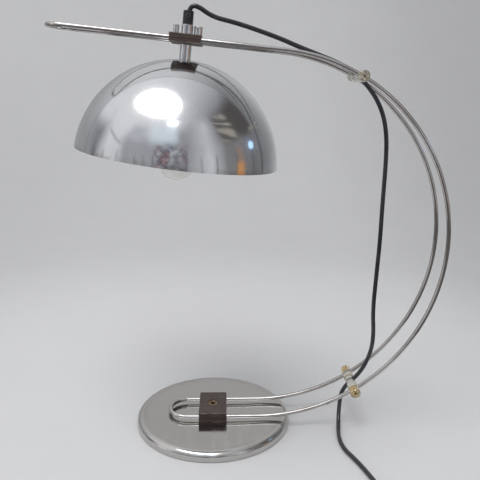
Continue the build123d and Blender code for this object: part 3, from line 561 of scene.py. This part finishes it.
M["black_plastic"] = plastic("plastic_grip", (0.030, 0.030, 0.034), (0.016, 0.016, 0.019), 0.30, 0.42, 1600.0, 0.00006)
M["holder_black"] = plastic("plastic_holder", (0.026, 0.023, 0.021), (0.014, 0.012, 0.011), 0.14, 0.24, 500.0, 0.00003)
M["switch_black"] = plastic("plastic_switch", (0.030, 0.030, 0.032), (0.018, 0.018, 0.020), 0.40, 0.55, 2600.0, 0.00012)
M["rocker_black"] = plastic("plastic_rocker", (0.034, 0.034, 0.036), (0.022, 0.022, 0.023), 0.18, 0.28, 900.0, 0.00004)
M["plug_black"] = plastic("plastic_plug", (0.034, 0.034, 0.037), (0.020, 0.020, 0.022), 0.38, 0.52, 1900.0, 0.0001)
M["tie_black"] = plastic("tie_strap", (0.045, 0.045, 0.05), (0.025, 0.025, 0.028), 0.55, 0.7, 3200.0, 0.0002)

# the cord's sheath
m = Mat("sheath", IOR=1.5, Specular_IOR_Level=0.7)
g = m.noise(m.P, 1500.0, 2.0, 0.5)
old = m.noise(m.P, 36.0, 4.0, 0.6)
scuff = m.mul(m.smooth(m.noise(m.P, 260.0, 3.0, 0.7), 0.60, 0.74), m.smooth(old, 0.45, 0.65))
c = m.mix(m.smooth(old, 0.3, 0.75), (0.014, 0.015, 0.021), (0.028, 0.028, 0.036))
c = m.mix(m.mul(scuff, 0.35), c, (0.15, 0.15, 0.155))
M["cord_black"] = m.out(c, m.line(g, 0.3, 0.7, 0.12, 0.20), m.bump(m.add(g, m.mul(old, 3.0)), 0.05, 0.00005))

# the spacers: clear bar, yellowed and finely crazed, with the brass screws' amber painted into its ends
m = Mat("acrylic", IOR=1.49, Transmission_Weight=0.86)
x, y, z = m.split(m.P)
craze = m.noise(m.P, 330.0, 4.0, 0.7)
old = m.noise(m.P, 55.0, 3.0, 0.6)
low_one = m.smooth(z, 0.30, 0.20)
# painted reflection: the brass screws seen through the ends are painted in as amber, strongest on the lower spacer
painted_brass_ends = m.mul(m.smooth(m.math("ABSOLUTE", y), 0.021, 0.027), m.line(low_one, 0.0, 1.0, 0.25, 1.0))
c = m.mix(m.smooth(old, 0.3, 0.75), (0.88, 0.875, 0.83), (0.80, 0.785, 0.71))
c = m.mix(m.mul(painted_brass_ends, 0.9), c, (1.0, 0.82, 0.46))
rg = m.add(m.line(craze, 0.3, 0.72, 0.09, 0.26), m.mul(painted_brass_ends, -0.08))
M["clear_acrylic"] = m.out(c, rg, m.bump(m.mul(craze, m.inv(painted_brass_ends)), 0.14, 0.0003))

# the bulb's glass
m = Mat("glass_bulb", IOR=1.46, Transmission_Weight=0.10)
smudge = m.noise(m.P, 70.0, 4.0, 0.65)
wave = m.noise(m.P, 40.0, 1.0, 0.4)
c = m.mix(m.smooth(smudge, 0.4, 0.8), (0.96, 0.96, 0.93), (0.90, 0.89, 0.85))
M["bulb_clear"] = m.out(c, m.smooth(smudge, 0.40, 0.78, 0.16, 0.30), m.bump(wave, 0.05, 0.0006))
m = Mat("glass_stem", IOR=1.5, Transmission_Weight=1.0)
n1 = m.noise(m.P, 300.0, 3.0, 0.6)
M["glass_stem"] = m.out(m.mix(n1, (0.93, 0.95, 0.93), (0.85, 0.88, 0.85)), m.line(n1, 0.3, 0.7, 0.0, 0.08), m.bump(n1, 0.1, 0.0003))

# the grip's set screw: black oxide, rubbed bright round its edge
m = Mat("screw_black", Metallic=0.6)
q = m.sub(m.P, head_at(0, 0, 30.4))
away = m.math("SQRT", m.add(m.math("POWER", m.dot(q, HX), 2.0), m.math("POWER", m.dot(q, HZ), 2.0)))
n1 = m.noise(m.P, 900.0, 3.0, 0.6)
ring = m.mul(m.band(away, 0.00155, 0.0022, 0.0002), m.smooth(n1, 0.3, 0.55))
M["screw_black"] = m.out(m.mix(m.mul(ring, 0.9), (0.035, 0.035, 0.038), (0.26, 0.255, 0.25)), m.line(n1, 0.3, 0.7, 0.28, 0.42), m.bump(n1, 0.08, 0.0001))

m = Mat("ceramic", Coat_Weight=0.5, Coat_Roughness=0.1)
n1 = m.noise(m.P, 90.0, 4.0, 0.6)
M["porcelain"] = m.out(m.mix(m.smooth(n1, 0.35, 0.75), (0.84, 0.82, 0.77), (0.72, 0.69, 0.62)),
                       m.line(n1, 0.3, 0.7, 0.22, 0.4), m.bump(n1, 0.06, 0.0002))

m = Mat("felt_pad", Sheen_Weight=0.35, Sheen_Roughness=0.5)
f1 = m.noise(m.P, 1400.0, 5.0, 0.8)
f2 = m.noise(m.P, 60.0, 3.0, 0.6)
M["felt"] = m.out(m.mix(m.line(f1, 0.3, 0.7), (0.035, 0.04, 0.036), (0.085, 0.095, 0.082)),
                  m.line(f2, 0.3, 0.7, 0.85, 0.98), m.bump(f1, 0.6, 0.0005))

LOOK = {
    "base_cover": "brushed_stainless", "base_weight": "raw_iron", "base_pad": "felt",
    "base_clamp_lower": "base_block", "base_clamp_upper": "base_block", "base_clamp_bolt": "brass_dull",
    "base_washer": "zinc", "base_nut": "zinc", "rod_loop": "rod_chrome", "rod_base_bend": "rod_chrome",
    "spacer_lower": "clear_acrylic", "spacer_upper": "clear_acrylic", "spacer_screws": "brass_screws",
    "carriage_lower": "head_block", "carriage_upper": "head_block", "stem_lock_screw": "zinc",
    "carriage_screw": "small_chrome", "clamp_knob": "small_chrome", "stem_tube": "small_chrome",
    "cord_grip": "black_plastic", "grip_screw": "screw_black", "shade": "shade_chrome", "nipple": "brass_bright",
    "shade_nut": "zinc", "nipple_sleeve": "small_chrome", "holder_cap": "holder_black",
    "holder_shell": "holder_black", "holder_insert": "porcelain", "screw_shell": "brass_bright",
    "holder_contact": "brass_bright", "bulb_cap": "bulb_aluminium", "bulb_glass": "bulb_clear",
    "bulb_mount": "bulb_clear", "cord_head_span": "cord_black", "cord_hang_run": "cord_black",
    "cord_floor_run": "cord_black", "cord_lead": "cord_black", "cord_tail": "cord_black",
    "cord_coil": "cord_black", "switch_base": "switch_black", "switch_cover": "switch_black",
    "switch_rocker": "rocker_black", "switch_pin": "pin_nickel", "plug_body": "plug_black",
    "plug_pins": "pin_nickel",
}


def dress(obj, name):
    slots = obj.material_slots
    if len(slots):
        for s in slots:
            s.material = M[name]
    else:
        obj.data.materials.append(M[name])


for name, look in LOOK.items():
    dress(nodes[name], look)
for piece in (flex_head, flex_main):
    dress(piece, "cord_black")


# ---------------------------------------------------- pieces with more detail
def skin(name, rings, look, body, smooth=True, closed=False, caps=True):
    """A mesh through rings of points, all of the same count."""
    mesh = bpy.data.meshes.new(name)
    bm = bmesh.new()
    vs = [[bm.verts.new(p) for p in ring] for ring in rings]
    pairs = list(zip(vs, vs[1:])) + ([(vs[-1], vs[0])] if closed else [])
    for a, b in pairs:
        n = len(a)
        for k in range(n):
            bm.faces.new((a[k], a[(k + 1) % n], b[(k + 1) % n], b[k]))
    if caps and not closed:
        bm.faces.new(list(reversed(vs[0])))
        bm.faces.new(vs[-1])
    bmesh.ops.recalc_face_normals(bm, faces=bm.faces)
    for f in bm.faces:
        f.smooth = smooth and len(f.verts) == 4
    bm.to_mesh(mesh)
    bm.free()
    obj = add(bpy.data.objects.new(name, mesh))
    mesh.materials.append(M[look])
    if body:
        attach(obj, body)
    return obj


def ring_at(centre, axis, r, n=32, side=None):
    axis = Vector(axis).normalized()
    a = (side or (Vector((0, 0, 1)) if abs(axis.z) < 0.9 else Vector((1, 0, 0)))).cross(axis).normalized()
    b = axis.cross(a)
    return [centre + (a * math.cos(t) + b * math.sin(t)) * r for t in (2 * math.pi * k / n for k in range(n))]


def part_of(line, start, length):
    """The stretch of a centreline from start on, in metres along it."""
    out, run = [], 0.0
    for a, b in zip(line, line[1:]):
        if start <= run <= start + length:
            out.append(a)
        run += (b - a).length
    return out


def nearest(line, p):
    run, best, at_best = 0.0, 1e9, 0.0
    for a, b in zip(line, line[1:]):
        if (a - p).length < best:
            best, at_best = (a - p).length, run
        run += (b - a).length
    return at_best


def relief(name, start, length, r0, r1, towards_end):
    """A tapered, ribbed sleeve round the cord, from a housing's mouth outwards."""
    pts = part_of(main_line, start, length)
    if not towards_end:
        pts.reverse()
    total, run, rings = length_of(pts), 0.0, []
    for i, p in enumerate(pts):
        if i:
            run += (p - pts[i - 1]).length
        t = run / total
        q = pts[min(i + 1, len(pts) - 1)] - pts[max(i - 1, 0)]
        groove = 0.00045 * (0.5 + 0.5 * math.cos(2 * math.pi * run / 0.0031)) if 0.06 < t < 0.9 else 0.0
        r = r0 + (r1 - r0) * t - groove
        rings.append(ring_at(p, q, r, 28))
    rings.append(ring_at(pts[-1], pts[-1] - pts[-2], 0.00302, 28))
    return skin(name, rings, "switch_black", "stand", caps=False)


sw_in = nearest(main_line, toward(SW_A, SW_DIR, -0.4))
sw_out = nearest(main_line, toward(SW_A, SW_DIR, SW_L + 0.4))
relief_in = relief("switch_relief_in", sw_in - 0.021, 0.021, 0.0044, 0.0033, False)
relief_out = relief("switch_relief_out", sw_out, 0.021, 0.0044, 0.0033, True)

# a strap ties the coil's turns together
for tie_name, tie_angle in (("coil_tie", 155.0),):
    ta = math.radians(tie_angle)
    radial = Vector((math.cos(ta), math.sin(ta), 0.0))
    tang = Vector((-math.sin(ta), math.cos(ta), 0.0))
    ri_, ro_, top_ = 0.02675, 0.0391, 0.01185
    outline = []
    for k in range(40):
        t = 2 * math.pi * k / 40
        cx, cz = (ri_ + ro_) / 2, top_ / 2 + 0.0001
        sx, sz = math.cos(t), math.sin(t)
        e = 0.62
        outline.append((cx + (ro_ - ri_) / 2 * math.copysign(abs(sx) ** e, sx),
                        cz + (top_ - 0.0002) / 2 * math.copysign(abs(sz) ** e, sz)))
    rings = []
    for along, shrink in ((-0.0042, 0.0005), (-0.0038, 0.0), (0.0038, 0.0), (0.0042, 0.0005)):
        rings.append([COIL + radial * (x + (shrink if x < 0.033 else -shrink)) + Z * (z + (shrink if z < 0.006 else -shrink))
                      + tang * along for x, z in outline])
    tie = skin(tie_name, rings, "tie_black", "stand", caps=False)
    tail_pts = [COIL + radial * x + Z * z for x, z in
                ((0.0385, 0.0100), (0.0391, 0.0085), (0.0392, 0.0060), (0.0388, 0.0042))]
    rings = [[p + radial * 0.0003 + tang * 0.0036, p + radial * 0.0003 - tang * 0.0036,
              p - radial * 0.0005 - tang * 0.0036, p - radial * 0.0005 + tang * 0.0036] for p in tail_pts]
    tie_end = skin(tie_name + "_end", rings, "tie_black", "stand", smooth=False)


# inside the bulb: pressed glass stem, two lead wires, two supports and a coiled filament
def turned(name, profile, look, body, n=40):
    rings = [[head_at(r * math.cos(2 * math.pi * k / n), r * math.sin(2 * math.pi * k / n), h) for k in range(n)]
             for r, h in profile]
    return skin(name, rings, look, body, caps=True)


def wire(name, pts, r, look, body):
    obj = tube_mesh(name, pts, 2 * r, 2)
    obj.data.materials.append(M[look])
    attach(obj, body)
    return obj


stem = turned("bulb_stem", [(11.2, -92.2), (9.4, -93.6), (6.2, -96.6), (4.0, -101.0), (2.9, -107.0), (2.5, -114.0),
                            (2.4, -121.0), (2.9, -124.5), (2.6, -127.2), (1.2, -128.6), (0.3, -128.9)],
              "glass_stem", "head")
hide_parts("bulb_mount")
for side, tag in ((-1, "a"), (1, "b")):
    wire("bulb_lead_" + tag, [head_at(side * 1.0, 0, -118.0), head_at(side * 1.1, 0, -127.0), head_at(side * 3.4, 0.1, -133.5),
                              head_at(side * 8.2, 0.2, -142.0), head_at(side * 10.0, 0.0, -145.8)],
         0.00033, "tungsten", "head")
    wire("bulb_support_" + tag, [head_at(side * 0.4, 0, -127.5), head_at(side * 1.0, 1.4, -133.0), head_at(side * 3.6, 4.2, -139.5),
                                 head_at(side * 4.0, 4.9, -143.4)],
         0.00016, "tungsten", "head")
turns, per = 46, 8
arc = []
for k in range(turns * per + 1):
    t = k / (turns * per)
    a = math.pi * (1 - t)
    centre = head_at(10.0 * math.cos(a), 5.3 * math.sin(a), -145.8 + 3.2 * math.sin(a))
    w_ = 2 * math.pi * k / per
    arc.append(centre + (HZ * math.cos(w_) + (HX * math.cos(a) + Y * math.sin(a)) * math.sin(w_)) * 0.00042)
wire("bulb_filament", arc, 0.00009, "tungsten", "head")

# ------------------------------------------------------------------- stage
def surface(name, faces, smooth=True):
    """A mesh from a list of rings of points, joined ring to ring."""
    mesh = bpy.data.meshes.new(name)
    bm = bmesh.new()
    rings = [[bm.verts.new(p) for p in ring] for ring in faces]
    for a, b in zip(rings, rings[1:]):
        n = len(b)
        for k in range(n):
            if len(a) == 1:
                bm.faces.new((a[0], b[k], b[(k + 1) % n]))
            else:
                bm.faces.new((a[k], b[k], b[(k + 1) % n], a[(k + 1) % n]))
    for f in bm.faces:
        f.smooth = smooth
    bm.to_mesh(mesh)
    bm.free()
    return add(bpy.data.objects.new(name, mesh))


def circle(r, z, n=96):
    return [(r * math.cos(2 * math.pi * k / n), r * math.sin(2 * math.pi * k / n), z) for k in range(n)]


FLOOR_R, COVE = 0.95, 1.35
NEAR_R = 0.46
floor = surface("floor", [[(0, 0, 0)], circle(0.25, 0), circle(NEAR_R, 0)])
floor_far = surface("floor_far", [circle(NEAR_R, 0), circle(FLOOR_R, 0)])
wall_rings = [circle(FLOOR_R, 0)]
for k in range(1, 25):
    a = math.radians(90.0 * k / 24)
    wall_rings.append(circle(FLOOR_R + COVE * math.sin(a), COVE * (1 - math.cos(a))))
wall_rings.append(circle(FLOOR_R + COVE, 2.1))
wall = surface("wall", wall_rings)
wall.visible_glossy = False
floor_far.visible_glossy = False


def paper(name, one_way):
    m = Mat(name, Roughness=0.9)
    m.b.inputs["Specular IOR Level"].default_value = 0.15
    x, y, z = m.split(m.P)
    g = m.noise(m.P, 7.0, 4.0, 0.6)
    f = m.noise(m.P, 260.0, 3.0, 0.6)
    # painted shade: the paper is painted darker towards the right, low down at both sides and further from the middle,
    # and a little lighter high on the left
    left = m.mul(m.smooth(x, -0.2, -0.9), m.line(z, 0.05, 0.75, -0.10, 0.02))
    right = m.mul(m.smooth(x, 0.25, 0.9), m.line(z, 0.05, 0.75, -0.06, 0.0))
    away = m.smooth(m.size(m.xyz(x, y, 0.0)), 0.50, 1.10, 1.0, 0.90)
    side = m.mul(m.smooth(x, 0.30, 1.15, 1.0, 0.80), m.mul(m.add(m.add(left, right), 1.0), away))
    tone = m.mul(side, m.line(g, 0.3, 0.7, 0.988, 1.012))
    tone = m.mul(tone, m.line(f, 0.3, 0.7, 0.99, 1.01))
    col = m.mix(tone, (0.0, 0.0, 0.0), (0.80, 0.80, 0.808))
    m.out(col, None, m.bump(f, 0.05, 0.0004))
    if one_way:
        # seen from beneath, the floor is out of the way
        see = m.new("ShaderNodeBsdfTransparent")
        mixer = m.new("ShaderNodeMixShader")
        back = m.new("ShaderNodeNewGeometry").outputs["Backfacing"]
        m.put(mixer.inputs[0], back)
        m.put(mixer.inputs[1], m.b.outputs[0])
        m.put(mixer.inputs[2], see.outputs[0])
        m.put(m.t.nodes["Material Output"].inputs["Surface"], mixer.outputs[0])
    return m.mat


floor.data.materials.append(paper("paper_floor", True))
floor_far.data.materials.append(floor.data.materials[0])
wall.data.materials.append(paper("paper_wall", True))

# ------------------------------------------------------------------ lights
def lamp(name, where, aim, diameter, radiance, color=(1.0, 1.0, 1.0), wide=1.0):
    data = bpy.data.lights.new(name, "AREA")
    data.shape = "ELLIPSE"
    data.size = diameter * wide
    data.size_y = diameter
    data.energy = radiance * math.pi * math.pi * (diameter / 2) ** 2 * wide
    data.color = color
    obj = add(bpy.data.objects.new(name, data))
    obj.location = where
    obj.rotation_mode = "QUATERNION"
    obj.rotation_quaternion = (Vector(aim) - Vector(where)).to_track_quat("-Z", "Y")
    return obj


lamp("key", (-0.701, -0.792, 3.104), (-0.03, -0.02, 0.30), 1.68, 3.75, wide=1.46)
lamp("second", (-0.025, -2.049, 2.742), (-0.02, -0.05, 0.35), 0.33, 7.0, (0.84, 0.94, 1.0), wide=1.6)
# a small cool window a little way off on the right
window = lamp("window", (1.2546, 0.090, 0.696), (0.05, -0.09, 0.415), 0.14, 2.1, (0.36, 0.64, 1.0), wide=1.3)
window.visible_camera = False

# ------------------------------------------------------------------- world
world = bpy.data.worlds.new("world")
bpy.context.scene.world = world
world.use_nodes = True
w = Tree(world.node_tree)
d = w.new("ShaderNodeTexCoord").outputs["Generated"]
dx, dy, dz = w.split(d)
rag = w.math("SUBTRACT", w.noise(d, 2.6, 3.0, 0.55), 0.5)
az = w.math("DIVIDE", w.math("ARCTAN2", dx, w.mul(dy, -1.0)), math.radians(1.0))
el = w.math("DIVIDE", w.math("ARCSINE", dz), math.radians(1.0))
az2 = w.add(az, w.mul(rag, 9.0))
el2 = w.add(el, w.mul(rag, 14.0))


def at(deg):
    return (deg + 180.0) / 360.0


# four plain greys: a bright opening on the left, a pale one right of the front, dim between
DIM, MID, PALE, BRIGHT = (0.26, 0.26, 0.27), (0.44, 0.45, 0.47), (0.74, 0.75, 0.78), (0.90, 0.90, 0.92)
low = w.ramp(
    w.line(az2, -180.0, 180.0),
    [(at(-120), MID), (at(-95), DIM), (at(-80), BRIGHT), (at(-65), BRIGHT), (at(-55), MID), (at(-20), MID),
     (at(5), DIM), (at(42), PALE), (at(62), DIM), (at(130), DIM)],
)
# thin dark uprights close to eye level
stripes = w.smooth(w.noise(w.xyz(w.mul(az, 0.115), 0.0, 0.0), 1.0, 2.0, 0.6), 0.54, 0.60)
stripes = w.mul(stripes, w.band(el2, -12.0, 13.0, 4.0))
low = w.mix(w.mul(stripes, 0.6), low, (0.09, 0.085, 0.09))
high = w.ramp(
    w.line(dx, -1.0, 1.0),
    [(0.10, BRIGHT), (0.50, BRIGHT), (0.74, MID), (0.86, (0.16, 0.16, 0.18))],
)
over = w.smooth(w.math("SUBTRACT", el2, w.line(az, -70.0, 35.0, 29.0, 48.0)), -8.0, 8.0)
room = w.mix(over, low, high)
# a pale glow in front, above the clutter
glow = w.mul(w.band(az2, -28.0, 8.0, 6.0), w.band(el, 27.0, 45.0, 6.0))
room = w.mix(w.mul(w.band(az, -54.0, -34.0, 6.0), w.band(el, 28.0, 42.0, 5.0)), room, (0.58, 0.60, 0.64))
room = w.mix(w.mul(glow, 0.9), room, (0.92, 1.01, 1.10))
# clutter in front, low down
blot = w.noise(d, 9.0, 4.0, 0.7)
tint = w.ramp(
    w.noise(d, 15.0, 3.0, 0.65, 0.6),
    [(0.36, (0.34, 0.44, 0.66)), (0.45, (0.11, 0.10, 0.12)), (0.54, (0.09, 0.075, 0.09)), (0.60, (0.42, 0.15, 0.16)),
     (0.68, (0.66, 0.58, 0.55))],
)
front = w.mul(w.band(az2, -20.0, 18.0, 4.0), w.band(el2, -6.0, 27.0, 4.0))
room = w.mix(w.mul(front, w.smooth(blot, 0.47, 0.54)), room, tint)
room = w.mix(w.mul(w.mul(front, w.smooth(blot, 0.44, 0.37)), 0.8), room, (0.72, 0.77, 0.82))
# a diagonal rail on the left
rail = w.band(w.add(el, w.mul(az, 0.37)), -3.2, -0.8, 0.8)
rail = w.mul(rail, w.band(az, -84.0, -62.0, 3.0))
room = w.mix(w.mul(rail, 0.7), room, (0.28, 0.28, 0.30))
# a dark shape with a shelf, a cool window and a warm door on the right
dark = w.mul(w.band(az2, 60.0, 118.0, 5.0), w.band(el2, 22.0, 50.0, 5.0))
room = w.mix(w.mul(dark, 0.9), room, (0.085, 0.075, 0.072))
shelf = w.smooth(w.noise(w.xyz(w.mul(az, 0.02), 0.0, w.mul(w.add(el, w.mul(az, 0.35)), 0.22)), 1.0, 2.0, 0.6), 0.50, 0.60)
shelf = w.mul(w.mul(shelf, dark), w.smooth(az, 88.0, 78.0))
room = w.mix(w.mul(shelf, 0.8), room, (0.54, 0.50, 0.44))
pane = w.mul(w.band(az, 95.0, 98.0, 2.0), w.band(el, 14.0, 20.0, 3.0))
room = w.mix(w.mul(pane, 0.6), room, (0.27, 0.36, 0.50))
door = w.mul(w.band(az, 75.0, 83.0, 2.0), w.smooth(el, 20.0, 12.0))
room = w.mix(w.mul(door, 0.55), room, (0.46, 0.29, 0.19))
under = w.mul(w.band(az, 74.0, 84.0, 2.0), w.smooth(el, 5.0, 0.0))
room = w.mix(w.mul(under, 0.8), room, (0.85, 0.40, 0.12))
# beneath the table's level the room is dark
room = w.mix(w.mul(w.smooth(el, -5.0, -12.0), 0.85), room, (0.085, 0.08, 0.08))
# the paper behind, and its edge
edge_at = w.add(w.add(dy, w.mul(dx, 0.06)), w.mul(rag, 0.02))
back = w.smooth(edge_at, 0.378, 0.398)
sweep = w.mix(w.smooth(el, 6.0, 54.0), (0.38, 0.383, 0.39), (0.76, 0.765, 0.775))
right_side = w.ramp(
    w.line(az, 110.0, 180.0),
    [(0.05, (0.235, 0.24, 0.25)), (0.30, (0.31, 0.315, 0.325)), (0.57, (0.46, 0.465, 0.47)), (0.95, (0.62, 0.625, 0.64))],
)
right_side = w.mix(w.smooth(el, 50.0, 78.0), right_side, (0.62, 0.63, 0.65))
sweep = w.mix(w.mul(w.smooth(az, 179.0, 160.0), w.smooth(az, 60.0, 90.0)), sweep, right_side)
room = w.mix(back, room, sweep)
lip = w.mul(w.band(edge_at, 0.372, 0.388, 0.008), w.smooth(el, -5.0, 15.0))
room = w.mix(w.mul(lip, 0.8), room, (0.20, 0.20, 0.205))
glossy = w.new("ShaderNodeLightPath").outputs["Is Glossy Ray"]
seen = w.mix(glossy, (0.485, 0.487, 0.492), room)
bg = world.node_tree.nodes["Background"]
w.put(bg.inputs[0], seen)
bg.inputs[1].default_value = 1.0

bpy.context.scene.view_settings.view_transform = "Standard"
bpy.context.scene.view_settings.look = "None"
bpy.context.scene.view_settings.exposure = 0.0
bpy.context.scene.view_settings.gamma = 1.0
